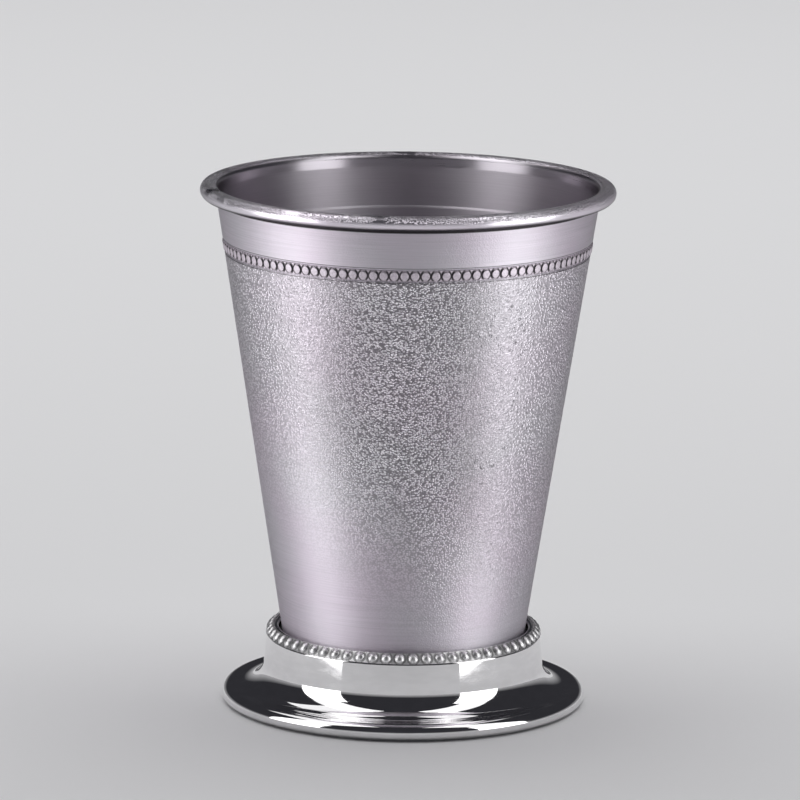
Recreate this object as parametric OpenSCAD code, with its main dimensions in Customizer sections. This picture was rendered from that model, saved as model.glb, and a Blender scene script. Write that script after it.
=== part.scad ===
// Footed julep cup in stainless steel, drawn and pressed from sheet.
// The origin is the centre of the ring that the foot stands on, and +Z is the cup's axis.
// Every round section is an outline of radius and height, turned about the axis.

/* [Overall] */
// Height from the resting ring to the top of the rim
overall_h = 114.4; // [90:0.1:150]
// Diameter over the rolled rim
rim_d = 90; // [72:0.5:115]
// Inside diameter of the cup at its floor, to the sharp corner
floor_d = 50.9; // [40:0.1:62]

/* [Cup body] */
// Thickness of the cup's sheet
cup_t = 0.7; // [0.5:0.05:0.9]
// Inside radius of the corner between floor and wall
corner_r = 3.2; // [1.5:0.1:6]
// Height of the rolled rim
rim_roll_h = 3; // [2.4:0.1:4]
// Width of the rolled rim, from the inside of the wall outwards
rim_roll_w = 3.8; // [3.6:0.1:5]
// Gap between the tucked edge of the rim and the wall
rim_tuck = 0.25; // [0.15:0.05:0.6]

/* [Upper beading] */
// Distance from the top of the rim down to the middle of the beaded band
band_drop = 13.2; // [8:0.1:30]
// Height of the groove that the beaded band lies in
band_h = 3.1; // [2.8:0.1:5]
// Depth of the groove
band_depth = 0.35; // [0.25:0.05:0.45]
// Margin of the strip above and below its beads
band_bead_margin = 0.2; // [0.1:0.05:0.5]
// Least gap between two beads of the band
band_bead_gap = 0.3; // [0.15:0.01:1]
// Height of one bead above its strip
band_bead_rise = 0.42; // [0.3:0.02:0.6]
// Thickness of the strip that carries the beads
band_strip_t = 0.2; // [0.15:0.01:0.25]

/* [Foot] */
// Height of the foot's shoulder above the resting ring
foot_h = 16.8; // [14:0.1:24]
// Thickness of the foot's sheet
foot_t = 0.6; // [0.5:0.05:0.7]
// How far the sloping seat of the beads runs outwards, from the shoulder to the collar
seat_run = 1.7; // [1.4:0.05:2.2]
// How far the seat drops, from the shoulder to the collar
seat_drop = 2.1; // [1.7:0.05:2.6]
// How far the collar widens on each side, down to its sweep
collar_flare = 1.1; // [0.4:0.1:2]
// Radius of the hollow sweep between collar and flange
sweep_r = 5.2; // [3:0.1:6.2]
// How far the rolled edge stands out from the foot of the collar
flange_w = 8.7; // [7.2:0.1:14]
// Height of the rolled edge
edge_roll_h = 3.7; // [3:0.1:4.5]
// How far the flange starts below the top of the rolled edge, at the foot of the sweep
flange_dip = 0.35; // [0.1:0.05:0.6]
// Width of the flat ring that the foot stands on
rest_w = 1; // [0.6:0.1:2]
// Clearance between the cup's wall and the lip of the foot
lip_gap = 0.45; // [0.3:0.05:0.8]
// Outer radius of the bend at the lip
lip_r = 0.7; // [0.7:0.05:1]
// Width of the level rim of the shoulder, from the lip's inner side to the beads
shoulder_w = 1.05; // [1:0.05:1.3]
// How far the cup's floor sits below the shoulder
seat_depth = 4.2; // [3:0.1:6]
// Diameter of the opening in the web under the cup
web_hole_d = 32; // [20:0.5:36]

/* [Foot beading] */
// Margin of the strip above and below its beads
foot_bead_margin = 0.08; // [0.05:0.01:0.4]
// Least gap between two beads of the shoulder
foot_bead_gap = 0.61; // [0.3:0.01:1.5]
// Height of one bead above its strip
foot_bead_rise = 0.62; // [0.4:0.02:0.8]
// Distance from each edge of the strip to the edge of its seat
foot_strip_margin = 0.12; // [0.05:0.01:0.3]
// Thickness of that strip
foot_strip_t = 0.25; // [0.2:0.01:0.35]

/* [Joints] */
// Thickness of the brazed ring between the cup's floor and the web
braze_t = 0.15; // [0.1:0.01:0.3]
// Width of the brazed ring
braze_w = 4; // [2:0.1:5]
// Film of solder behind each beaded strip
film = 0.03; // [0.02:0.01:0.05]
// Play at each side of the upper strip in its groove
strip_play = 0.05; // [0.02:0.01:0.1]

/* [Hidden] */

// Steps round a full turn of a revolved shape, and round one bead
$fn = 180;
bead_fn = 48;
// Angle that one straight step of a bend covers
bend_step = 7.5;
// Slope of the groove's sides against the wall
groove_slope = 45;
// Radius of the crisp bends of the groove, on the inside of each bend
crisp_r = 0.05;
// Radius of the web's bend, on its hollow side
web_r = 1.2;
// Height to which the edge of the foot's roll turns up again, over the height of the roll
edge_end_share = 0.62;
// Share of a strip's thickness that the root of each bead sinks into
root_share = 0.5;
// Share of a bead's rise that its straight stem takes
stem_share = 0.25;
// Place of the first bead of each strip from +X, as a share of the distance between two beads
band_start_share = 0.5;
foot_start_share = 0;
// How far a cut runs past what it cuts
overrun = 1;

// Vectors
function dir(a) = [cos(a), sin(a)];
function left(v) = [-v.y, v.x];
function unit(v) = v / norm(v);
function flat(p) = [p.x, p.y];
function reversed(list) = [for (i = [len(list) - 1 : -1 : 0]) list[i]];

// One rounded corner of a bent sheet. The corner q has bend radius q.z on the drawn skin, and
// side is how far to the left of that skin the returned points lie.
function bend(p, q, s, side) =
    let (
        u = unit(flat(q) - flat(p)),
        v = unit(flat(s) - flat(q)),
        turn = sign(cross(u, v)),
        centre = flat(q) + turn * q.z * (left(u) + left(v)) / (1 + u * v),
        start = atan2(left(u).y, left(u).x),
        sweep = turn * acos(u * v),
        steps = ceil(abs(sweep) / bend_step)
    )
    [for (i = [0 : steps]) centre - turn * (q.z - turn * side) * dir(start + sweep * i / steps)];

// One skin of a sheet that follows the path of [radius, height, bend radius] corners
function skin(path, side) =
    let (
        last = len(path) - 1,
        first_dir = unit(flat(path[1]) - flat(path[0])),
        last_dir = unit(flat(path[last]) - flat(path[last - 1]))
    )
    concat(
        [flat(path[0]) + side * left(first_dir)],
        [for (i = [1 : last - 1]) each bend(path[i - 1], path[i], path[i + 1], side)],
        [flat(path[last]) + side * left(last_dir)]
    );

// Closed outline of a sheet of thickness t that lies to the right of its drawn skin
function sheet(path, t) = concat(skin(path, 0), reversed(skin(path, -t)));

// The cup's wall: its foot, its lean and a point at length s up it and n inwards of the inner skin
cup_floor_top = foot_h - seat_depth + cup_t;
wall_foot = [floor_d / 2, cup_floor_top];
wall_head = [rim_d / 2 - rim_roll_w, overall_h];
wall_up = unit(wall_head - wall_foot);
function wall_point(s, n) = wall_foot + s * wall_up + n * left(wall_up);
function wall_length(z) = (z - cup_floor_top) / wall_up.y;
// Outer radius of the wall at height z
function wall_outside(z) = wall_foot.x + (z - cup_floor_top) * wall_up.x / wall_up.y + cup_t / wall_up.y;

// The groove: its middle and ends up the wall, on the outer skin
band_middle = wall_length(overall_h - band_drop);
band_low = band_middle - band_h / 2;
band_high = band_middle + band_h / 2;
groove_run = band_depth / tan(groove_slope);
// How far a corner of the groove moves up the wall from one skin to the other
groove_shift = cup_t * tan(groove_slope / 2);
band_strip_w = band_h - 2 * groove_run - 2 * strip_play;

function at_wall(s, n, r) = let (p = wall_point(s, n)) [p.x, p.y, r];

cup_path = [
    [0, cup_floor_top, 0],
    [wall_foot.x, wall_foot.y, corner_r],
    at_wall(band_low - groove_shift, 0, crisp_r),
    at_wall(band_low - groove_shift + groove_run, band_depth, cup_t + crisp_r),
    at_wall(band_high + groove_shift - groove_run, band_depth, cup_t + crisp_r),
    at_wall(band_high + groove_shift, 0, crisp_r),
    [wall_head.x, wall_head.y, rim_roll_h / 2],
    [rim_d / 2, overall_h, rim_roll_h / 2],
    [rim_d / 2, overall_h - rim_roll_h, rim_roll_h / 2],
    [wall_outside(overall_h - rim_roll_h) + rim_tuck, overall_h - rim_roll_h, 0]
];

// The foot: web, skirt beside the cup, shoulder, seat of the beads, collar, sweep and rolled edge
web_top = foot_h - seat_depth - braze_t;
skirt_r = wall_outside(foot_h) + lip_gap;
seat_high = [skirt_r + shoulder_w, foot_h];
seat_low = [skirt_r + shoulder_w + seat_run, foot_h - seat_drop];
seat_dir = unit(seat_low - seat_high);
foot_strip_w = norm(seat_low - seat_high) - 2 * foot_strip_margin;
roll_r = edge_roll_h / 2;
sweep_foot = [seat_low.x + collar_flare, edge_roll_h - flange_dip];
edge_r = sweep_foot.x + flange_w;
edge_end = edge_roll_h * edge_end_share;

foot_path = [
    [web_hole_d / 2, web_top, 0],
    [skirt_r, web_top, web_r],
    [skirt_r, foot_h, lip_r],
    [seat_high.x, seat_high.y, foot_t + crisp_r],
    [seat_low.x, seat_low.y, foot_t + crisp_r],
    [sweep_foot.x, sweep_foot.y, sweep_r],
    [edge_r, edge_roll_h, roll_r],
    [edge_r, 0, roll_r],
    [edge_r - edge_roll_h - rest_w, 0, roll_r],
    [edge_r - edge_roll_h - rest_w, edge_end, 0]
];

// A bead along +X, d wide: a straight stem from x = -root, and on it the cap of a ball up to x = rise
module bead(d, rise, root) {
    cap_h = rise * (1 - stem_share);
    ball_r = (d * d / 4 + cap_h * cap_h) / (2 * cap_h);
    rotate([0, 90, 0])
        rotate_extrude($fn = bead_fn)
            intersection() {
                translate([0, rise - ball_r]) circle(r = ball_r);
                translate([0, -root]) square([d / 2, root + rise + overrun]);
            }
}

// A ring of beads on a strip. The strip is centred on the point middle of the outline, runs along
// the direction along, stands out to the right of it and keeps a film of solder behind it.
module beaded_strip(middle, along, width, t, d, gap, rise, start_share) {
    out = -left(along);
    back = middle + film * out;
    face = middle + (film + t) * out;
    count = floor(2 * PI * face.x / (d + gap));
    // The strip is the first piece of the ring, and then each bead in turn
    for (i = [-1 : count - 1])
        if (i < 0)
            rotate_extrude() polygon([
                back - along * width / 2, back + along * width / 2,
                face + along * width / 2, face - along * width / 2
            ]);
        else
            rotate([0, 0, 360 * (i + start_share) / count])
                translate([face.x, 0, face.y])
                    rotate([0, -atan2(out.y, out.x), 0])
                        bead(d, rise, t * root_share);
}

// Tapered cup with its floor, grooved band and hollow rolled rim, drawn from one sheet
module cup_body() {
    color("#b9b2bb") rotate_extrude() polygon(sheet(cup_path, cup_t));
}

// Beaded strip in the groove below the rim
module upper_beading() {
    color("#cfc9d1")
        beaded_strip(
            wall_point(band_middle, band_depth - cup_t), wall_up,
            band_strip_w, band_strip_t,
            band_strip_w - 2 * band_bead_margin, band_bead_gap, band_bead_rise, band_start_share
        );
}

// Hollow foot with its web under the cup, pressed from one sheet
module foot() {
    color("#8f9098") rotate_extrude() polygon(sheet(foot_path, foot_t));
}

// Beaded strip on the sloping seat of the foot's shoulder
module foot_beading() {
    color("#e6e6ea")
        beaded_strip(
            (seat_high + seat_low) / 2, -seat_dir,
            foot_strip_w, foot_strip_t,
            foot_strip_w - 2 * foot_bead_margin, foot_bead_gap, foot_bead_rise, foot_start_share
        );
}

// Ring of braze that holds the cup's floor on the web of the foot
module braze_ring() {
    color("#b08d57")
        translate([0, 0, web_top])
            difference() {
                cylinder(r = web_hole_d / 2 + braze_w, h = braze_t);
                translate([0, 0, -overrun]) cylinder(r = web_hole_d / 2, h = braze_t + 2 * overrun);
            }
}

cup_body();
upper_beading();
foot();
foot_beading();
braze_ring();
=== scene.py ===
import math

import bmesh
import bpy
from mathutils import Matrix, Vector


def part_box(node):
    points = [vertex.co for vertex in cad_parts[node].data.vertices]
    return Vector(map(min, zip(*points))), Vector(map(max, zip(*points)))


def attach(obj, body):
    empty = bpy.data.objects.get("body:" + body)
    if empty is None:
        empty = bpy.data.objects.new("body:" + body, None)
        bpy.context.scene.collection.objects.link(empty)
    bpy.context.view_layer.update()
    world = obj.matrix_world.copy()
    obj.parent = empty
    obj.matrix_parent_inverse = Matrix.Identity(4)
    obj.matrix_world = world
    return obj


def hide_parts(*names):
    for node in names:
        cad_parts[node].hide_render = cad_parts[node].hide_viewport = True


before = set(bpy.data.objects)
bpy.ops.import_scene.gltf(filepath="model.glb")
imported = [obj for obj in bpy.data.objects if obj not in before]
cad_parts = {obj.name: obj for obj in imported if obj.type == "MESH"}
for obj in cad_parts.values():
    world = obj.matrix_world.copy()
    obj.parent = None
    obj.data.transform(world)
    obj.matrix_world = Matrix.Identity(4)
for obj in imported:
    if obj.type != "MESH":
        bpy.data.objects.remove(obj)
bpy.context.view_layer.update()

# The cup's own sizes, in millimetres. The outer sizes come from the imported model, the rest are the
# sizes of its sheets, bends and beads.
MM = 0.001


def size_of(node):
    """Outer radius, lowest and highest point of a CAD node, in millimetres."""
    low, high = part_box(node)
    return high.x / MM, low.z / MM, high.z / MM


RIM_R, CUP_BOTTOM, RIM_TOP = size_of("cup_body")
FOOT_R, TABLE, SHOULDER = size_of("foot")

# The cup's sheet, the corner of its floor and its rolled rim
CUP_T = 0.7
FLOOR_R = 25.45
CORNER_R = 3.2
RIM_ROLL_H = 3.0
RIM_ROLL_W = 3.8
RIM_TUCK = 0.25

# The groove below the rim, with the slope of its sides in degrees, and its beaded strip
BAND_DROP = 13.2
BAND_H = 3.1
BAND_DEPTH = 0.35
GROOVE_SLOPE = 45.0
BAND_BEADS = 113
BAND_BEAD_W = 1.9
BAND_BEAD_H = 2.1
BAND_BEAD_RISE = 0.42
BAND_BEAD_CROWN = 0.3
BAND_STRIP_T = 0.2

# The foot, from the shoulder down to the ring it stands on, and its web under the cup
FOOT_T = 0.6
SEAT_RUN = 1.7
SEAT_DROP = 2.1
COLLAR_FLARE = 1.1
SWEEP_R = 5.2
EDGE_ROLL_H = 3.7
FLANGE_DIP = 0.35
REST_W = 1.0
LIP_GAP = 0.45
LIP_R = 0.7
SHOULDER_W = 1.05
WEB_HOLE_R = 16.0
WEB_R = 1.2

# The beaded strip on the foot's shoulder
FOOT_BEADS = 63
FOOT_BEAD_D = 2.3
FOOT_BEAD_RISE = 0.62
FOOT_STRIP_MARGIN = 0.12
FOOT_STRIP_T = 0.25

# Place of the first bead of each strip from +X, as a share of the distance between two beads
BAND_PHASE = 0.5
FOOT_PHASE = 0.0

# The film of solder behind each strip, the play beside the upper one, and the crisp bends
FILM = 0.03
STRIP_PLAY = 0.05
CRISP_R = 0.05
# Height at which the hidden end of the foot's edge stops, over the height of the rolled edge
EDGE_END_SHARE = 0.62
BRAZE_T = size_of("braze_ring")[2] - size_of("braze_ring")[1]

CUP_FLOOR = CUP_BOTTOM + CUP_T
# The wall's lean in radians, and its directions upwards and inwards as radius and height
WALL_LEAN = math.atan2(RIM_R - RIM_ROLL_W - FLOOR_R, RIM_TOP - CUP_FLOOR)
WALL_UP = Vector((math.sin(WALL_LEAN), math.cos(WALL_LEAN)))
WALL_IN = Vector((-WALL_UP.y, WALL_UP.x))


def wall_inside(z):
    """Radius of the wall's inner skin at a height."""
    return FLOOR_R + (z - CUP_FLOOR) * math.tan(WALL_LEAN)


def wall_outside(z):
    """Radius of the wall's outer skin at a height."""
    return wall_inside(z) + CUP_T / math.cos(WALL_LEAN)


# The middle of the band up the wall, and the face of its strip, inwards of the wall's inner skin
BAND_MIDDLE = (RIM_TOP - BAND_DROP - CUP_FLOOR) / WALL_UP.y
BAND_FACE = BAND_DEPTH - CUP_T - FILM - BAND_STRIP_T
SKIRT_R = wall_outside(SHOULDER) + LIP_GAP

# The sloping seat of the foot's beads, from its upper to its lower edge
SEAT_HIGH = Vector((SKIRT_R + SHOULDER_W, SHOULDER))
SEAT_LOW = SEAT_HIGH + Vector((SEAT_RUN, -SEAT_DROP))
SEAT_UP = (SEAT_HIGH - SEAT_LOW).normalized()
SEAT_OUT = Vector((SEAT_UP.y, -SEAT_UP.x))
SEAT_FACE = (SEAT_HIGH + SEAT_LOW) / 2 + SEAT_OUT * (FILM + FOOT_STRIP_T)
COLLAR_R = SEAT_LOW.x

# Steps round the cup, degrees that one step of a bend covers, and the angles in degrees below which
# edges are shaded smooth
SPIN_STEPS = 256
BEND_STEP = 5.0
FOOT_BEND_STEP = 4.5
SMOOTH_BELOW = 35.0
BEADS_SMOOTH_BELOW = 60.0

# Distances in metres below which two points are one: on an outline, and at a seam or pole
SAME_POINT = 1e-7
SAME_SEAM = 1e-6
# Least turn of a corner that is rounded, in radians, and the fewest steps of its bend
LEAST_TURN = 0.01
LEAST_STEPS = 2
# How strongly wide faces keep their own slope in the shading, of 100
WIDE_FACE_WEIGHT = 80
# Upward part of a normal above which a face looks up, and the millimetres within which a point is
# at a level
LOOKS_UP = 0.9
AT_LEVEL = 1e-3


# Modelling

def start_fresh():
    """Leaves edit mode with nothing selected."""
    if bpy.context.object and bpy.context.object.mode != "OBJECT":
        bpy.ops.object.mode_set(mode="OBJECT")
    bpy.ops.object.select_all(action="DESELECT")


def pick(piece, wanted, kind="verts"):
    """Selects the vertices, edges or faces of a piece in edit mode for which wanted(element) holds."""
    bm = bmesh.from_edit_mesh(piece.data)
    bpy.ops.mesh.select_all(action="DESELECT")
    for element in getattr(bm, kind):
        element.select_set(bool(wanted(element)))
    bm.select_flush_mode()
    bmesh.update_edit_mesh(piece.data)


def traced(name, corners, step=BEND_STEP):
    """A wire in the XZ plane through [radius, height, bend radius] corners, each bend a true arc.
    It starts as one point, is extruded corner by corner, and then each corner is rounded."""
    start_fresh()
    bpy.ops.mesh.primitive_plane_add(size=MM)
    piece = bpy.context.object
    piece.name = name
    bpy.ops.object.mode_set(mode="EDIT")
    bpy.ops.mesh.select_all(action="SELECT")
    bpy.ops.mesh.merge(type="CENTER")
    points = [Vector((r, 0, z)) * MM for r, z, _ in corners]
    bpy.ops.transform.translate(value=points[0])
    for before, after in zip(points, points[1:]):
        bpy.ops.mesh.extrude_vertices_move(TRANSFORM_OT_translate={"value": after - before})
    for i in range(1, len(points) - 1):
        turn = (points[i] - points[i - 1]).angle(points[i + 1] - points[i])
        if corners[i][2] and turn > LEAST_TURN:
            pick(piece, lambda v: (v.co - points[i]).length < SAME_POINT)
            bpy.ops.mesh.bevel(
                affect="VERTICES", offset_type="OFFSET",
                offset=corners[i][2] * MM * math.tan(turn / 2),
                segments=max(LEAST_STEPS, math.ceil(math.degrees(turn) / step)), profile=0.5,
            )
    bpy.ops.mesh.select_all(action="SELECT")
    bpy.ops.mesh.remove_doubles(threshold=SAME_POINT)
    bpy.ops.object.mode_set(mode="OBJECT")
    return piece


def turned(piece):
    """Spins a traced outline once about the cup's axis and closes its seam and poles."""
    bpy.ops.object.mode_set(mode="EDIT")
    bpy.ops.mesh.select_all(action="SELECT")
    bpy.ops.mesh.spin(steps=SPIN_STEPS, angle=math.tau, center=(0, 0, 0), axis=(0, 0, 1))
    bpy.ops.mesh.select_all(action="SELECT")
    bpy.ops.mesh.remove_doubles(threshold=SAME_SEAM)
    bpy.ops.mesh.normals_make_consistent(inside=False)
    bpy.ops.object.mode_set(mode="OBJECT")
    return piece


def facing(piece, at, towards):
    """Turns all faces over if the one nearest to a point doesn't look along a direction."""
    near = min(piece.data.polygons, key=lambda f: (f.center - Vector(at) * MM).length)
    if near.normal.dot(Vector(towards)) < 0:
        bpy.ops.object.mode_set(mode="EDIT")
        bpy.ops.mesh.select_all(action="SELECT")
        bpy.ops.mesh.flip_normals()
        bpy.ops.object.mode_set(mode="OBJECT")
    return piece


def applied(piece, kind, **settings):
    """Adds a modifier to a piece and applies it."""
    start_fresh()
    piece.select_set(True)
    bpy.context.view_layer.objects.active = piece
    modifier = piece.modifiers.new(kind.title(), kind)
    for key, value in settings.items():
        setattr(modifier, key, value)
    bpy.ops.object.modifier_apply(modifier=modifier.name)
    return piece


def sheet_of(piece, thickness):
    """Gives a turned skin its thickness, behind the side that its faces look to."""
    return applied(piece, "SOLIDIFY", thickness=thickness * MM, offset=-1.0, use_even_offset=True,
                   use_rim=True)


def smoothed(piece, angle=SMOOTH_BELOW):
    """Smooth shading with crisp cut edges, where wide faces keep their own slope."""
    start_fresh()
    piece.select_set(True)
    bpy.context.view_layer.objects.active = piece
    bpy.ops.object.shade_smooth_by_angle(angle=math.radians(angle))
    return applied(piece, "WEIGHTED_NORMAL", keep_sharp=True, weight=WIDE_FACE_WEIGHT)


def joined(name, pieces):
    """Joins pieces into one, which keeps the first one's material slots."""
    start_fresh()
    for piece in pieces:
        piece.select_set(True)
    bpy.context.view_layer.objects.active = pieces[0]
    bpy.ops.object.join()
    pieces[0].name = name
    return pieces[0]


# The crown of a flat-topped bead: how far each step goes inwards, over the bead's radius, and
# upwards, over the height of the crown, and the share of that height left for its tip
CROWN_STEPS = ((0.34, 0.72), (0.34, 0.24))
CROWN_TIP = 0.04
# How much of the shoulder's height is rounded, and the most it may be over the bead's width
SHOULDER_ROUND = 0.9
SHOULDER_MOST = 0.16


def bead(width, height, rise, root, crown, sides=18):
    """One bead that stands on z = 0: a short cylinder whose upper edge is rounded into a low dome.
    Its height lies along x. crown is the share of the rise that lies above the bead's shoulder."""
    start_fresh()
    shoulder = rise * (1 - crown)
    bpy.ops.mesh.primitive_cylinder_add(
        vertices=sides, radius=width / 2 * MM, depth=(shoulder + root) * MM,
        location=(0, 0, (shoulder - root) / 2 * MM),
    )
    piece = bpy.context.object
    bpy.ops.object.transform_apply(location=True, rotation=True, scale=True)
    bpy.ops.object.mode_set(mode="EDIT")
    pick(piece, lambda f: f.normal.z > LOOKS_UP, "faces")
    for inwards, upwards in CROWN_STEPS:
        bpy.ops.mesh.inset(thickness=width / 2 * inwards * MM, depth=rise * crown * upwards * MM)
    bpy.ops.mesh.poke(offset=rise * crown * CROWN_TIP * MM)
    pick(piece, lambda e: all(abs(v.co.z / MM - shoulder) < AT_LEVEL for v in e.verts), "edges")
    rounded = min(shoulder, width * SHOULDER_MOST) * SHOULDER_ROUND
    bpy.ops.mesh.bevel(offset=rounded * MM, segments=2, profile=0.5)
    bpy.ops.mesh.select_all(action="SELECT")
    bpy.ops.transform.resize(value=(height / width, 1, 1))
    bpy.ops.object.mode_set(mode="OBJECT")
    return piece


def round_bead(diameter, rise, root, sides=16, rings=13):
    """One bead shaped as the cap of a ball, which stands on z = 0 with its root below."""
    start_fresh()
    ball_r = (diameter * diameter / 4 + rise * rise) / (2 * rise)
    bpy.ops.mesh.primitive_uv_sphere_add(
        segments=sides, ring_count=rings, radius=ball_r * MM, location=(0, 0, (rise - ball_r) * MM))
    piece = bpy.context.object
    bpy.ops.object.transform_apply(location=True, rotation=True, scale=True)
    bpy.ops.object.mode_set(mode="EDIT")
    bpy.ops.mesh.select_all(action="SELECT")
    bpy.ops.mesh.bisect(
        plane_co=(0, 0, -root * MM), plane_no=(0, 0, 1), clear_inner=True, use_fill=True)
    bpy.ops.object.mode_set(mode="OBJECT")
    return piece


def ring_of(piece, count, phase, place):
    """Puts one bead at its place in the XZ plane, given by a matrix, and repeats it round the axis."""
    piece.data.transform(place)
    piece.data.transform(Matrix.Rotation(math.tau * phase / count, 4, "Z"))
    start_fresh()
    piece.select_set(True)
    bpy.context.view_layer.objects.active = piece
    bpy.ops.object.mode_set(mode="EDIT")
    bpy.ops.mesh.select_all(action="SELECT")
    bpy.ops.mesh.spin(steps=count - 1, dupli=True, angle=math.tau * (count - 1) / count,
                      center=(0, 0, 0), axis=(0, 0, 1))
    bpy.ops.object.mode_set(mode="OBJECT")
    return piece


def standing_on(point, outward):
    """Matrix that takes a bead from z = 0 to a point of the outline, with its dome facing outward."""
    up = Vector((outward.x, 0, outward.y)).normalized()
    side = Vector((0, 1, 0))
    along = side.cross(up)
    turn = Matrix((along, side, up)).transposed().to_4x4()
    return Matrix.Translation(Vector((point.x, 0, point.y)) * MM) @ turn


def wall_corner(s, n, r=0.0):
    """Corner of an outline at length s up the wall's inner skin and n inwards of it."""
    p = Vector((FLOOR_R, CUP_FLOOR)) + s * WALL_UP + n * WALL_IN
    return (p.x, p.y, r)


def make_cup_body():
    """Floor, wall with its groove, and the hollow rolled rim, as one sheet."""
    # How far a corner of the groove moves up the wall from one skin to the other
    shift = CUP_T * math.tan(math.radians(GROOVE_SLOPE / 2))
    run = BAND_DEPTH / math.tan(math.radians(GROOVE_SLOPE))
    low = BAND_MIDDLE - BAND_H / 2
    high = BAND_MIDDLE + BAND_H / 2
    roll = RIM_ROLL_H / 2
    under = RIM_TOP - RIM_ROLL_H
    piece = traced("cup_body_drawn", [
        (0, CUP_FLOOR, 0),
        (FLOOR_R, CUP_FLOOR, CORNER_R),
        wall_corner(low - shift, 0, CRISP_R),
        wall_corner(low - shift + run, BAND_DEPTH, CUP_T + CRISP_R),
        wall_corner(high + shift - run, BAND_DEPTH, CUP_T + CRISP_R),
        wall_corner(high + shift, 0, CRISP_R),
        (RIM_R - RIM_ROLL_W, RIM_TOP, roll),
        (RIM_R, RIM_TOP, roll),
        (RIM_R, under, roll),
        (wall_outside(under) + RIM_TUCK, under, 0),
    ])
    turned(piece)
    facing(piece, (FLOOR_R / 2, 0, CUP_FLOOR), (0, 0, 1))
    return smoothed(sheet_of(piece, CUP_T))


def make_upper_beading():
    """Thin strip in the groove with its low, flat-topped beads."""
    half = BAND_H / 2 - BAND_DEPTH - STRIP_PLAY
    strip = traced("upper_beading_strip", [
        wall_corner(BAND_MIDDLE - half, BAND_FACE), wall_corner(BAND_MIDDLE + half, BAND_FACE),
    ])
    turned(strip)
    facing(strip, (wall_outside(RIM_TOP - BAND_DROP), 0, RIM_TOP - BAND_DROP), (1, 0, 0))
    smoothed(sheet_of(strip, BAND_STRIP_T))
    middle = Vector(wall_corner(BAND_MIDDLE, BAND_FACE)[:2])
    beads = bead(BAND_BEAD_W, BAND_BEAD_H, BAND_BEAD_RISE, BAND_STRIP_T / 2, BAND_BEAD_CROWN)
    ring_of(beads, BAND_BEADS, BAND_PHASE, standing_on(middle, -WALL_IN))
    smoothed(beads, BEADS_SMOOTH_BELOW)
    return joined("upper_beading_pressed", [strip, beads])


def make_foot():
    """Web, skirt, shoulder, collar, sweep, flange and rolled edge, as one sheet."""
    web_top = CUP_BOTTOM - BRAZE_T
    roll = EDGE_ROLL_H / 2
    inner = FOOT_R - EDGE_ROLL_H - REST_W
    piece = traced("foot_pressed", [
        (WEB_HOLE_R, web_top, 0),
        (SKIRT_R, web_top, WEB_R),
        (SKIRT_R, SHOULDER, LIP_R),
        (*SEAT_HIGH, FOOT_T + CRISP_R),
        (*SEAT_LOW, FOOT_T + CRISP_R),
        (COLLAR_R + COLLAR_FLARE, EDGE_ROLL_H - FLANGE_DIP, SWEEP_R),
        (FOOT_R, EDGE_ROLL_H, roll),
        (FOOT_R, TABLE, roll),
        (inner, TABLE, roll),
        (inner, EDGE_ROLL_H * EDGE_END_SHARE, 0),
    ], step=FOOT_BEND_STEP)
    turned(piece)
    facing(piece, (COLLAR_R, 0, SHOULDER / 2), (1, 0, 0))
    return smoothed(sheet_of(piece, FOOT_T))


def make_foot_beading():
    """Strip on the sloping seat of the shoulder with its rounder beads."""
    half = (SEAT_HIGH - SEAT_LOW).length / 2 - FOOT_STRIP_MARGIN
    ends = [SEAT_FACE - SEAT_UP * half, SEAT_FACE + SEAT_UP * half]
    strip = traced("foot_beading_strip", [(*p, 0) for p in ends])
    turned(strip)
    facing(strip, (SEAT_FACE.x, 0, SEAT_FACE.y), (SEAT_OUT.x, 0, SEAT_OUT.y))
    smoothed(sheet_of(strip, FOOT_STRIP_T))
    beads = round_bead(FOOT_BEAD_D, FOOT_BEAD_RISE, FOOT_STRIP_T / 2)
    ring_of(beads, FOOT_BEADS, FOOT_PHASE, standing_on(SEAT_FACE, SEAT_OUT))
    smoothed(beads, BEADS_SMOOTH_BELOW)
    return joined("foot_beading_pressed", [strip, beads])


# Shader expressions

class Socket:
    """A shader socket that can be used in sums and products."""

    def __init__(self, finish, socket):
        self.finish = finish
        self.socket = socket

    def math(self, operation, *others):
        """One step of arithmetic with other sockets or numbers."""
        values = dict(enumerate((self, *others)))
        return self.finish.node("ShaderNodeMath", {"operation": operation}, values)

    def __add__(self, other):
        return self.math("ADD", other)

    def __mul__(self, other):
        return self.math("MULTIPLY", other)

    def __sub__(self, other):
        return self.math("SUBTRACT", other)

    def __rsub__(self, other):
        return (self * -1) + other

    def __truediv__(self, other):
        return self.math("DIVIDE", other)

    def __pow__(self, power):
        return self.math("POWER", power)

    __radd__ = __add__

    def rise(self, low, high):
        """0 below low, 1 above high and smooth between. It falls instead where low is the larger."""
        turned_over = low > high
        low, high = min(low, high), max(low, high)
        ends = (1, 0) if turned_over else (0, 1)
        settings = {"interpolation_type": "SMOOTHSTEP"}
        values = {"Value": self, "From Min": low, "From Max": high, "To Min": ends[0], "To Max": ends[1]}
        return self.finish.node("ShaderNodeMapRange", settings, values)

    def rise_past(self, level, span):
        """As rise does, with both ends measured from a level."""
        return self.rise(level + span[0], level + span[1])

    def output(self, name):
        """Another output of the same node."""
        return Socket(self.finish, self.socket.node.outputs[name])


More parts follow.
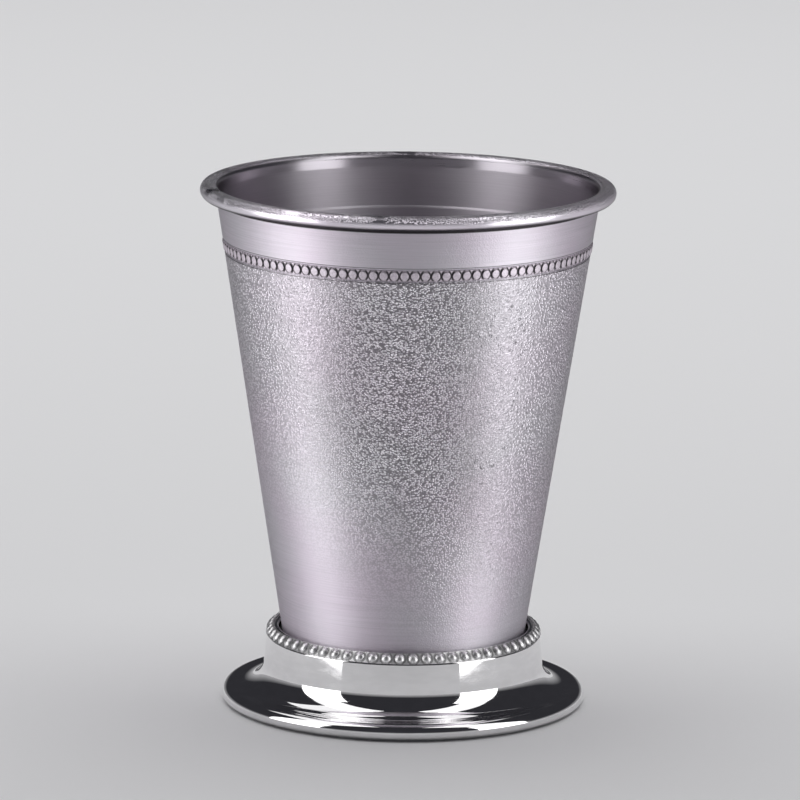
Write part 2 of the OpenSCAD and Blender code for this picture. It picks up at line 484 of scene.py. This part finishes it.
class Finish:
    """A material whose nodes are made from expressions."""

    def __init__(self, name):
        self.material = bpy.data.materials.new(name)
        self.material.use_nodes = True
        self.tree = self.material.node_tree
        self.tree.nodes.clear()

    def node(self, kind, settings=None, values=None):
        """Any node: its settings are set first, then the values or links of its sockets."""
        made = self.tree.nodes.new(kind)
        for key, value in (settings or {}).items():
            setattr(made, key, value)
        for key, value in (values or {}).items():
            if isinstance(value, Socket):
                self.tree.links.new(value.socket, made.inputs[key])
            else:
                made.inputs[key].default_value = value
        shown = next((o for o in made.outputs if o.enabled), None)
        return Socket(self, shown)

    def place(self):
        """Object coordinates in millimetres."""
        metres = self.node("ShaderNodeTexCoord").output("Object")
        return self.node("ShaderNodeVectorMath", {"operation": "SCALE"}, {0: metres, "Scale": 1 / MM})

    def axes(self, place):
        """The three coordinates of a place and its distance from the cup's axis."""
        split = self.node("ShaderNodeSeparateXYZ", {}, {0: place})
        x, y, z = split.output("X"), split.output("Y"), split.output("Z")
        return x, y, z, (x * x + y * y) ** 0.5

    def stretched(self, vector, factors):
        """A vector times one factor for each axis."""
        return self.node("ShaderNodeVectorMath", {"operation": "MULTIPLY"}, {0: vector, 1: factors})

    def noise(self, vector, scale, detail, roughness):
        """Cloudy noise, of that many waves per millimetre where the vector isn't stretched."""
        values = {"Vector": vector, "Scale": scale, "Detail": detail, "Roughness": roughness}
        return self.node("ShaderNodeTexNoise", {}, values)

    def cells(self, vector, scale, randomness=1.0, smoothness=None):
        """Distance from the middle of irregular cells, which flow into one another if smoothness is
        given."""
        values = {"Vector": vector, "Scale": scale, "Randomness": randomness}
        if smoothness is None:
            return self.node("ShaderNodeTexVoronoi", {"feature": "F1"}, values)
        values["Smoothness"] = smoothness
        return self.node("ShaderNodeTexVoronoi", {"feature": "SMOOTH_F1"}, values)

    def mixed(self, factor, first, second, blend="MIX"):
        """Mixes two colours."""
        settings = {"data_type": "RGBA", "blend_type": blend}
        mix = self.node("ShaderNodeMix", settings, {"Factor": factor, 6: first, 7: second})
        return Socket(self, mix.socket.node.outputs[2])

    def bump(self, height, distance, strength, normal=None):
        """A normal raised by a height of at most the distance, in millimetres, on another normal."""
        values = {"Height": height, "Distance": distance * MM, "Strength": strength}
        if normal:
            values["Normal"] = normal
        return self.node("ShaderNodeBump", {}, values)

    def metal(self, colour, roughness, normal, **constants):
        """The surface: a metal whose sockets that don't vary are set on the shader itself."""
        values = {"Base Color": colour, "Roughness": roughness, "Normal": normal, "Metallic": 1.0}
        values.update({key.replace("_", " ").title(): value for key, value in constants.items()})
        shader = self.node("ShaderNodeBsdfPrincipled", {}, values)
        self.node("ShaderNodeOutputMaterial", {}, {"Surface": shader})
        return self.material


def grey(value, tint=(1, 1, 1)):
    """A grey times a tint, as the value of a colour socket."""
    return (value * tint[0], value * tint[1], value * tint[2], 1.0)


# Tints of the steels: the wall and band are faintly pink, and the wall warmer in some places
STEEL_TINT = (1.04, 0.95, 1.045)
WARM_TINT = (1.04, 0.95, 1.055)
COOL_TINT = (1.01, 0.975, 1.04)
BRIGHT_TINT = (1, 0.99, 1)

# Beads of dew per millimetre in the middle of the front and at the sides, larger drops where they
# have run together, and frost on the rim
FINE_DEW = 2.1
WIDE_DEW = 1.5
DROPS = 0.8
FROST = 3.2
FROST_SMOOTH = 0.3
# How much lower than wide the beads of dew are, and how far they stray from an even grid
DEW_FLATTENED = (1.0, 1.0, 1.25)
DEW_STRAY = 0.85
# Noise that gathers the drops, as waves per millimetre, detail and roughness, and where they gather
CLUSTER_NOISE = (0.8, 1.0, 0.5)
CLUSTERS_IN = (0.45, 0.6)
# Distances from the middle of a bead, in cells, between which its dome falls, its painted glint (a
# painted highlight) fades and the dark outline round it, which is painted shade, rises
DOME_FALLS = (0.05, 0.6)
GLINT_FADES = (0.1, 0.36)
OUTLINE_RISES = (0.34, 0.66)
DROP_FALLS = (0.05, 0.4)
FROST_FALLS = (0.1, 0.6)
# Heights of beads, drops and frost, over the depth of the dew in millimetres
DEW_DEPTH = 0.26
BEAD_H = 0.6
DROP_H = 0.8
FROST_H = 0.8


def dewy(f, p, wet, drops_where, front):
    """The dew: beads of water close together, finest at the front, and larger drops where they have
    run. Returns its height, the domes of the beads, the painted highlight (glint) in the middle of
    each, and the dark outlines of painted shade between."""
    clusters = f.noise(p, *CLUSTER_NOISE)
    flattened = f.stretched(p, DEW_FLATTENED)
    fine = f.cells(flattened, FINE_DEW, DEW_STRAY)
    wide = f.cells(flattened, WIDE_DEW, DEW_STRAY)
    distance = fine * front + wide * (1 - front)
    dome = 1 - distance.rise(*DOME_FALLS)
    large = f.cells(p, DROPS)
    large_dome = (1 - large.rise(*DROP_FALLS)) * clusters.rise(*CLUSTERS_IN)
    height = dome * wet * BEAD_H + large_dome * drops_where * DROP_H
    painted_glint = (1 - distance.rise(*GLINT_FADES)) * wet
    return height, dome * wet, painted_glint, distance.rise(*OUTLINE_RISES) * wet


# The dew starts below the band, at these distances from the groove's lower edge, and thins out
# between these heights on the left and that much lower on the right
DEW_STARTS = (0.6, -0.4)
DEW_THINS = (34.0, 84.0)
LOWER_ON_RIGHT = 24.0
# Distances to the right, between which left turns to right, and to either side, between which the
# front turns to a side
LEFT_TO_RIGHT = (-34.0, 12.0)
FRONT_TO_SIDE = (32.0, 8.0)
# Where the rim's roll and its top start, down from the rim over the height of the roll
ROLL_STARTS = (1.05, 0.95)
TOP_STARTS = (0.55, 0.2)
# Painted shade in the crease under the roll, from the level of its underside
CREASE_BELOW = (-1.05, -0.8)
CREASE_ABOVE = (0.9, 0.2)
# Painted shade in dark lines at the edges of the groove, from its edge
GROOVE_SHADE_STARTS = (-0.05, 0.05)
GROOVE_SHADE_ENDS = (0.25, 0.12)

# Fine brushing round the cup and the grain of the satin finish, their noises as waves per
# millimetre, detail and roughness
BRUSH_STRETCH = (0.05, 0.05, 5.0)
BRUSH_NOISE = (1.0, 3.0, 0.65)
BRUSH_DEPTH = 0.012
BRUSH_STRENGTH = 0.35
GRAIN_STRETCH = (1.4, 1.4, 1.8)
GRAIN_NOISE = (2.0, 2.0, 0.6)
GRAIN_DEPTH = 0.12
GRAIN_STRENGTH = 0.5
# Wide clouds of tint, and the patches in which water has gathered
CLOUD_NOISE = (0.035, 3.0, 0.5)
PATCH_NOISE = (0.11, 2.0, 0.5)
# Values of these noises between which the tint turns, a streak brightens, water has run on the wall
# and dew lies on the rim
TINT_TURNS = (0.3, 0.7)
STREAK_BRIGHTENS = (0.25, 0.75)
RUNS_IN = (0.45, 0.6)
RIM_DEW_IN = (0.3, 0.5)
# The sheet's inside starts at its middle, between these shares of its thickness
INSIDE_STARTS = (0.6, 0.4)

# Brightness of the bare wall, of its brushed streaks, and of the painted shade: round the beads of
# # dew, at the edges of the groove, on the inside and in the crease under the roll
WALL_GREY = 0.94
STREAK_GREY = 0.9
PAINTED_SHADE_GREY = 0.08
INSIDE_SHADE_GREY = 0.42
CREASE_SHADE_GREY = 0.03
# How strongly the painted glint and painted shade of the beads of dew show at the sides, and how
# # much more at the front
SIDE_CONTRAST = 0.35
FRONT_CONTRAST = 0.35
# How strongly each kind of painted shade shows
OUTLINE_SHADE_SHOWS = 0.95
GROOVE_SHADE_SHOWS = 0.7
INSIDE_SHADE_SHOWS = 0.45
CREASE_SHADE_SHOWS = 0.95

# Roughness of the satin finish, what is added to it and what is taken from it
SATIN_ROUGH = 0.44
DRY_WALL_ROUGHER = 0.16
BRUSH_ROUGHER = 0.05
PATCHES_ROUGHER = 0.04
DEW_SMOOTHER = 0.28
RIM_SMOOTHER = 0.2
# How much the brushing draws out reflections, the turn of that, and the tint of grazing reflections
ANISOTROPIC = 0.7
ANISOTROPIC_TURN = 0.25
SATIN_GRAZING = 0.4


def satin_steel():
    """Satin steel, brushed round the cup, with fine dew below the band and on the rim, and painted
    highlights and shade: on the beads of dew, at the edges of the groove, on the inside and in the
    crease under the roll.
    """
    f = Finish("satin_steel")
    p = f.place()
    x, y, z, radius = f.axes(p)
    lean_out = radius - (z - CUP_FLOOR) * math.tan(WALL_LEAN)
    inside = lean_out.rise(*(FLOOR_R + CUP_T * share for share in INSIDE_STARTS))
    below_band = z.rise_past(RIM_TOP - BAND_DROP - BAND_H / 2, DEW_STARTS)
    on_rim = z.rise(*(RIM_TOP - RIM_ROLL_H * share for share in ROLL_STARTS))
    on_top = z.rise(*(RIM_TOP - RIM_ROLL_H * share for share in TOP_STARTS))
    under_rim = RIM_TOP - RIM_ROLL_H
    # Painted shade: a nearly black band in the crease under the roll
    crease_shade = z.rise_past(under_rim, CREASE_BELOW) * z.rise_past(under_rim, CREASE_ABOVE)
    crease_shade = crease_shade * (1 - inside)
    from_band = along_band(radius, z).math("ABSOLUTE")
    groove_shade = from_band.rise_past(BAND_H / 2, GROOVE_SHADE_STARTS)
    groove_shade = groove_shade * from_band.rise_past(BAND_H / 2, GROOVE_SHADE_ENDS)

    brush = f.noise(f.stretched(p, BRUSH_STRETCH), *BRUSH_NOISE)
    grain = f.noise(f.stretched(p, GRAIN_STRETCH), *GRAIN_NOISE)
    cloud = f.noise(p, *CLOUD_NOISE)
    patches = f.noise(p, *PATCH_NOISE)

    right_side = x.rise(*LEFT_TO_RIGHT)
    low_fade = (z + right_side * LOWER_ON_RIGHT).rise(*DEW_THINS)
    outer_wall = (1 - inside) * (1 - on_rim)
    wet = below_band * low_fade * outer_wall
    runs = wet * right_side * patches.rise(*RUNS_IN)
    rim_wet = on_top * patches.rise(*RIM_DEW_IN) * (1 - inside)

    front = x.math("ABSOLUTE").rise(*FRONT_TO_SIDE)
    dew, domes, painted_glint, outline = dewy(f, p, wet, runs, front)
    frost = (1 - f.cells(p, FROST, smoothness=FROST_SMOOTH).rise(*FROST_FALLS)) * rim_wet
    normal = f.bump(brush, BRUSH_DEPTH, BRUSH_STRENGTH)
    normal = f.bump(grain, GRAIN_DEPTH, outer_wall * GRAIN_STRENGTH, normal)
    normal = f.bump(dew + frost * FROST_H, DEW_DEPTH, 1.0, normal)

    contrast = SIDE_CONTRAST + front * FRONT_CONTRAST
    shade = cloud.rise(*TINT_TURNS)
    bare = f.mixed(shade, grey(WALL_GREY, WARM_TINT), grey(WALL_GREY, COOL_TINT))
    streaks = f.mixed(brush.rise(*STREAK_BRIGHTENS), grey(STREAK_GREY), grey(1.0))
    colour = f.mixed(1.0, bare, streaks, "MULTIPLY")
    # Painted highlight: a white glint in the middle of each bead of dew, then painted shade in the dark
    # outline round it
    colour = f.mixed(painted_glint * contrast, colour, grey(1.0))
    colour = f.mixed(outline * contrast * OUTLINE_SHADE_SHOWS, colour, grey(PAINTED_SHADE_GREY, STEEL_TINT))
    # Painted shade: dark lines along the edges of the groove
    groove_shade = groove_shade * outer_wall * GROOVE_SHADE_SHOWS
    colour = f.mixed(groove_shade, colour, grey(PAINTED_SHADE_GREY, STEEL_TINT))
    # Painted shade: the inside of the cup darker than the outside
    colour = f.mixed(inside * INSIDE_SHADE_SHOWS, colour, grey(INSIDE_SHADE_GREY, STEEL_TINT))
    # Painted shade in the crease under the roll
    colour = f.mixed(crease_shade * CREASE_SHADE_SHOWS, colour, grey(CREASE_SHADE_GREY, STEEL_TINT))
    dry_wall = (1 - wet) * outer_wall
    roughness = (
        SATIN_ROUGH + dry_wall * DRY_WALL_ROUGHER + brush * BRUSH_ROUGHER - domes * DEW_SMOOTHER
        - on_rim * RIM_SMOOTHER + patches * PATCHES_ROUGHER
    )
    return f.metal(colour, roughness, normal, anisotropic=ANISOTROPIC,
                   anisotropic_rotation=ANISOTROPIC_TURN, specular_tint=grey(SATIN_GRAZING))


# The ring of painted shade at the foot of a bead, in distances from its middle over its own half
# # size, and how far to the side of the bead it is darkest
RING_STARTS = (0.8, 0.95)
RING_ENDS = (1.4, 1.16)
RING_SIDES = (0.2, 0.75)
RING_LEAST = 0.2
# Darkness of the painted shade in the ring, its least strength and how much the mottle varies it
RING_SHADE_GREY = 0.02
RING_SHADE_LEAST = 0.8
RING_SHADE_MOTTLED = 0.3
# Mottled spots and smears: their noises, the values between which each darkens, and how dark they
# are over the steel's own brightness
MOTTLE_NOISE = (2.4, 3.0, 0.6)
SMEAR_NOISE = (0.3, 2.0, 0.5)
SPOT_DARKENS = (0.62, 0.38)
SMEAR_BRIGHTENS = (0.35, 0.65)
MOTTLE_SHOWS = 0.4
MOTTLE_DARKER = 0.55
SMEAR_DARKER = 0.92
MOTTLE_DEPTH = 0.08
MOTTLE_STRENGTH = 0.4
MOTTLE_ROUGHER = 0.06
RING_ROUGHER = 0.15
BEADING_GRAZING = 0.6


def beading_steel(name, count, phase, across, width, height, colour, roughness, ring_shade, tint):
    """Steel of a beaded strip, with painted shade in a dark ring at the foot of each bead. across gives
    the distance from the middle line of the strip as an expression of radius and height."""
    f = Finish(name)
    p = f.place()
    x, y, z, radius = f.axes(p)
    pitches = y.math("ARCTAN2", x) * (count / math.tau) + count + (0.5 - phase)
    beside = (pitches.math("FRACT") - 0.5) * radius * (math.tau / count) / (width / 2)
    along = across(radius, z) / (height / 2)
    from_middle = (beside * beside + along * along) ** 0.5
    ring = from_middle.rise(*RING_STARTS) * from_middle.rise(*RING_ENDS)
    sides = beside.math("ABSOLUTE").rise(*RING_SIDES)
    ring = ring * (RING_LEAST + sides * (1 - RING_LEAST)) * ring_shade
    mottle = f.noise(p, *MOTTLE_NOISE)
    smears = f.noise(p, *SMEAR_NOISE)
    smeared = smears.rise(*SMEAR_BRIGHTENS)
    bright = f.mixed(smeared, grey(colour * SMEAR_DARKER, tint), grey(colour, tint))
    spots = mottle.rise(*SPOT_DARKENS) * MOTTLE_SHOWS
    bright = f.mixed(spots, bright, grey(colour * MOTTLE_DARKER, tint))
    # Painted shade: a dark ring at the foot of each bead, darkest at its sides and mottled
    shaded_ring = ring * (RING_SHADE_LEAST + mottle * RING_SHADE_MOTTLED)
    shade = f.mixed(shaded_ring, bright, grey(RING_SHADE_GREY, tint))
    rough = roughness + mottle * MOTTLE_ROUGHER + ring * RING_ROUGHER
    normal = f.bump(mottle, MOTTLE_DEPTH, MOTTLE_STRENGTH)
    return f.metal(shade, rough, normal, specular_tint=grey(BEADING_GRAZING))


# Mirror finish: the noises of its wiping marks and swirls, and the values between which a mark
# brightens and is rougher, and where specks lie
WIPE_STRETCH = (0.25, 0.25, 0.7)
WIPE_NOISE = (1.0, 3.0, 0.55)
SWIRL_STRETCH = (0.12, 0.12, 4.0)
SWIRL_NOISE = (1.0, 2.0, 0.6)
WIPE_BRIGHTENS = (0.3, 0.7)
WIPE_ROUGHENS = (0.4, 0.75)
SPECKS_IN = (0.45, 0.6)
# Distances from the middle of a speck, in cells, between which it ends
SPECK_ENDS = (0.02, 0.07)
# Brightness where it is wiped and where it is clean, and of its specks
WIPED_GREY = 0.80
CLEAN_GREY = 0.86
SPECK_GREY = 0.45
SPECK_SHOWS = 0.4
SPECKS = 0.9
MIRROR_ROUGH = 0.04
WIPE_ROUGHER = 0.04
SPECK_ROUGHER = 0.2
SWIRL_DEPTH = 0.003
SWIRL_STRENGTH = 0.3


def mirror_steel():
    """Mirror-polished steel with faint swirls, wiping marks and a few fine specks."""
    f = Finish("mirror_steel")
    p = f.place()
    wiped = f.noise(f.stretched(p, WIPE_STRETCH), *WIPE_NOISE)
    swirl = f.noise(f.stretched(p, SWIRL_STRETCH), *SWIRL_NOISE)
    speck = (1 - f.cells(p, SPECKS).rise(*SPECK_ENDS)) * wiped.rise(*SPECKS_IN)
    clean = wiped.rise(*WIPE_BRIGHTENS)
    colour = f.mixed(clean, grey(WIPED_GREY, BRIGHT_TINT), grey(CLEAN_GREY, BRIGHT_TINT))
    colour = f.mixed(speck * SPECK_SHOWS, colour, grey(SPECK_GREY))
    roughness = MIRROR_ROUGH + wiped.rise(*WIPE_ROUGHENS) * WIPE_ROUGHER + speck * SPECK_ROUGHER
    return f.metal(colour, roughness, f.bump(swirl, SWIRL_DEPTH, SWIRL_STRENGTH))


# Filler metal: its noise, its dull and bright places, its roughness and its bumps
BRAZE_NOISE = (0.9, 4.0, 0.6)
BRAZE_BRIGHTENS = (0.35, 0.65)
BRAZE_DULL = grey(0.42, (1.1, 0.95, 0.7))
BRAZE_BRIGHT = grey(0.62, (1.05, 0.97, 0.8))
BRAZE_ROUGH = 0.35
BRAZE_MOTTLE_ROUGHER = 0.25
BRAZE_DEPTH = 0.05
BRAZE_STRENGTH = 0.5


def braze():
    """Filler metal of the joint, matt and mottled."""
    f = Finish("braze")
    mottle = f.noise(f.place(), *BRAZE_NOISE)
    colour = f.mixed(mottle.rise(*BRAZE_BRIGHTENS), BRAZE_DULL, BRAZE_BRIGHT)
    roughness = BRAZE_ROUGH + mottle * BRAZE_MOTTLE_ROUGHER
    return f.metal(colour, roughness, f.bump(mottle, BRAZE_DEPTH, BRAZE_STRENGTH))


def finished(piece, material):
    """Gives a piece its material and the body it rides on."""
    piece.data.materials.clear()
    piece.data.materials.append(material)
    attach(piece, "root")


def along_band(radius, z):
    """Distance up the wall from the middle line of the upper strip."""
    foot = Vector((FLOOR_R, CUP_FLOOR))
    return radius * WALL_UP.x + z * WALL_UP.y - (foot.dot(WALL_UP) + BAND_MIDDLE)


def along_seat(radius, z):
    """Distance up the sloping seat from the middle line of the foot's strip."""
    return radius * SEAT_UP.x + z * SEAT_UP.y - SEAT_FACE.dot(SEAT_UP)


satin = satin_steel()
mirror = mirror_steel()
band_steel = beading_steel(
    "band_steel", BAND_BEADS, BAND_PHASE, along_band, BAND_BEAD_W, BAND_BEAD_H,
    colour=0.78, roughness=0.5, ring_shade=0.9, tint=STEEL_TINT,
)
bead_steel = beading_steel(
    "bead_steel", FOOT_BEADS, FOOT_PHASE, along_seat, FOOT_BEAD_D, FOOT_BEAD_D,
    colour=0.98, roughness=0.36, ring_shade=0.6, tint=BRIGHT_TINT,
)

cup_body = make_cup_body()
finished(cup_body, satin)
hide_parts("cup_body")

upper_beading = make_upper_beading()
finished(upper_beading, band_steel)
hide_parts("upper_beading")

foot = make_foot()
finished(foot, mirror)
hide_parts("foot")

foot_beading = make_foot_beading()
finished(foot_beading, bead_steel)
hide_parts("foot_beading")

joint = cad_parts["braze_ring"]
joint.data.materials.clear()
joint.data.materials.append(braze())


# Stage: a pale floor and soft lights

# Reach of the floor and its depth below the foot, in metres
FLOOR_REACH = 9.0
FLOOR_DEPTH = 0.00005
FLOOR_SIDES = 96
FLOOR_COLOUR = (0.80, 0.80, 0.81, 1)
FLOOR_ROUGH = 0.9


def make_floor():
    """A round floor without a sheen of its own."""
    start_fresh()
    bpy.ops.mesh.primitive_circle_add(
        vertices=FLOOR_SIDES, radius=FLOOR_REACH, fill_type="NGON", location=(0, 0, -FLOOR_DEPTH))
    floor = bpy.context.object
    floor.name = "floor"
    material = bpy.data.materials.new("pale_floor")
    material.use_nodes = True
    shader = material.node_tree.nodes["Principled BSDF"]
    shader.inputs["Base Color"].default_value = FLOOR_COLOUR
    shader.inputs["Roughness"].default_value = FLOOR_ROUGH
    shader.inputs["Specular IOR Level"].default_value = 0.0
    floor.data.materials.append(material)


def softbox(name, place, look_at, width, height, radiance, seen_in_metal):
    """A rectangular soft light; places and sizes in millimetres. radiance is its brightness seen
    face on. It shows in the metal, or else it lights the floor."""
    data = bpy.data.lights.new(name, "AREA")
    data.shape = "RECTANGLE"
    data.size = width * MM
    data.size_y = height * MM
    data.energy = math.pi * radiance * width * height * MM * MM
    lamp = bpy.data.objects.new(name, data)
    bpy.context.scene.collection.objects.link(lamp)
    lamp.location = Vector(place) * MM
    aim = (Vector(look_at) - Vector(place)).normalized()
    lamp.rotation_mode = "QUATERNION"
    lamp.rotation_quaternion = aim.to_track_quat("-Z", "Y")
    lamp.visible_camera = False
    lamp.visible_glossy = seen_in_metal
    lamp.visible_diffuse = not seen_in_metal


def around(azimuth, distance, height):
    """A place at an azimuth from the camera's side, positive to the right."""
    a = math.radians(azimuth)
    return (distance * math.sin(a), -distance * math.cos(a), height)


# The low lamps stand at each side, with their middle at this height
LOW_RANGE = 200.0
LOW_H = 86.0
LOW_TALL = 170.0
# The high ones stand further round, and are wider than the low ones by this factor
HIGH_ROUND = 1.1
HIGH_RANGE = 190.0
HIGH_H = 330.0
HIGH_AIM = 60.0
HIGH_WIDER = 1.2
HIGH_TALL = 250.0
HIGH_RADIANCE = 1.25
# The ones over and behind the cup face straight down
OVER_BACK = 200.0
OVER_H = 500.0
OVER_LONG = 500.0
OVER_RADIANCE = 1.1
# The overhead lamp, which lights the floor alone
OVERHEAD_BACK = 700.0
OVERHEAD_H = 1500.0
OVERHEAD_SIZE = (3000.0, 2400.0)
OVERHEAD_RADIANCE = 1.65

make_floor()
# Side, azimuth, width and radiance of the low lamp; distance to the right and width of the one over
for side, azimuth, width, radiance, across, over_width in (
    ("left", -66, 130, 1.95, -205, 250),
    ("right", 61, 120, 2.1, 160, 60),
):
    softbox(side + "_low", around(azimuth, LOW_RANGE, LOW_H), (0, 0, LOW_H),
            width, LOW_TALL, radiance, True)
    softbox(side + "_high", around(azimuth * HIGH_ROUND, HIGH_RANGE, HIGH_H), (0, 0, HIGH_AIM),
            width * HIGH_WIDER, HIGH_TALL, HIGH_RADIANCE, True)
    softbox(side + "_over", (across, OVER_BACK, OVER_H), (across, OVER_BACK, 0),
            over_width, OVER_LONG, OVER_RADIANCE, True)
softbox("overhead", (0, OVERHEAD_BACK, OVERHEAD_H), (0, OVERHEAD_BACK, 0),
        *OVERHEAD_SIZE, OVERHEAD_RADIANCE, False)


# Brightness of the room near the horizon and overhead, each with the height on a unit sphere round
# the cup at which it is reached
NEAR_HORIZON = (0.02, (0.38, 0.38, 0.39, 1))
OVERHEAD_DIM = (0.2, (0.03, 0.03, 0.035, 1))


def make_world():
    """A room that is light near the horizon and dim overhead."""
    world = bpy.data.worlds.new("studio")
    bpy.context.scene.world = world
    world.use_nodes = True
    tree = world.node_tree
    tree.nodes.clear()
    coord = tree.nodes.new("ShaderNodeTexCoord")
    split = tree.nodes.new("ShaderNodeSeparateXYZ")
    ramp = tree.nodes.new("ShaderNodeValToRGB")
    background = tree.nodes.new("ShaderNodeBackground")
    output = tree.nodes.new("ShaderNodeOutputWorld")
    tree.links.new(coord.outputs["Generated"], split.inputs[0])
    tree.links.new(split.outputs["Z"], ramp.inputs["Fac"])
    for element, (place, colour) in zip(ramp.color_ramp.elements, (NEAR_HORIZON, OVERHEAD_DIM)):
        element.position = place
        element.color = colour
    tree.links.new(ramp.outputs["Color"], background.inputs["Color"])
    tree.links.new(background.outputs["Background"], output.inputs["Surface"])


make_world()


# Camera, fitted to the ellipses of the photograph. Distances are in millimetres, the elevation in
# degrees and the roll in radians

VIEW_DISTANCE = 1400.0
VIEW_ELEVATION = 11.69
VIEW_TARGET_H = 57.0
FOCAL_PIXELS = 6430.0
PICTURE_PIXELS = 800.0
TARGET_PIXEL = (405.44, 443.61)
CAMERA_ROLL = 0.0111
SENSOR_MM = 36.0
CLIP_NEAR = 0.05
CLIP_FAR = 60.0


def make_camera():
    """A camera that looks at the cup's axis, with that point off the picture's centre."""
    data = bpy.data.cameras.new("camera")
    data.sensor_width = SENSOR_MM
    data.lens = FOCAL_PIXELS / PICTURE_PIXELS * SENSOR_MM
    data.clip_start = CLIP_NEAR
    data.clip_end = CLIP_FAR
    camera = bpy.data.objects.new("camera", data)
    bpy.context.scene.collection.objects.link(camera)
    bpy.context.scene.camera = camera
    e = math.radians(VIEW_ELEVATION)
    back = Vector((0, -math.cos(e), math.sin(e)))
    right = Vector((1, 0, 0))
    up = back.cross(right)
    up_rolled = up * math.cos(CAMERA_ROLL) - right * math.sin(CAMERA_ROLL)
    right_rolled = right * math.cos(CAMERA_ROLL) + up * math.sin(CAMERA_ROLL)
    place = Vector((0, 0, VIEW_TARGET_H)) * MM + back * VIEW_DISTANCE * MM
    off_right = (TARGET_PIXEL[0] - PICTURE_PIXELS / 2) / FOCAL_PIXELS
    off_down = (TARGET_PIXEL[1] - PICTURE_PIXELS / 2) / FOCAL_PIXELS
    forward = (-back - right_rolled * off_right + up_rolled * off_down).normalized()
    right_final = forward.cross(up_rolled).normalized()
    up_final = right_final.cross(forward)
    turn = Matrix((right_final, up_final, -forward)).transposed()
    camera.matrix_world = Matrix.Translation(place) @ turn.to_4x4()


make_camera()
bpy.context.scene.view_settings.view_transform = "Standard"
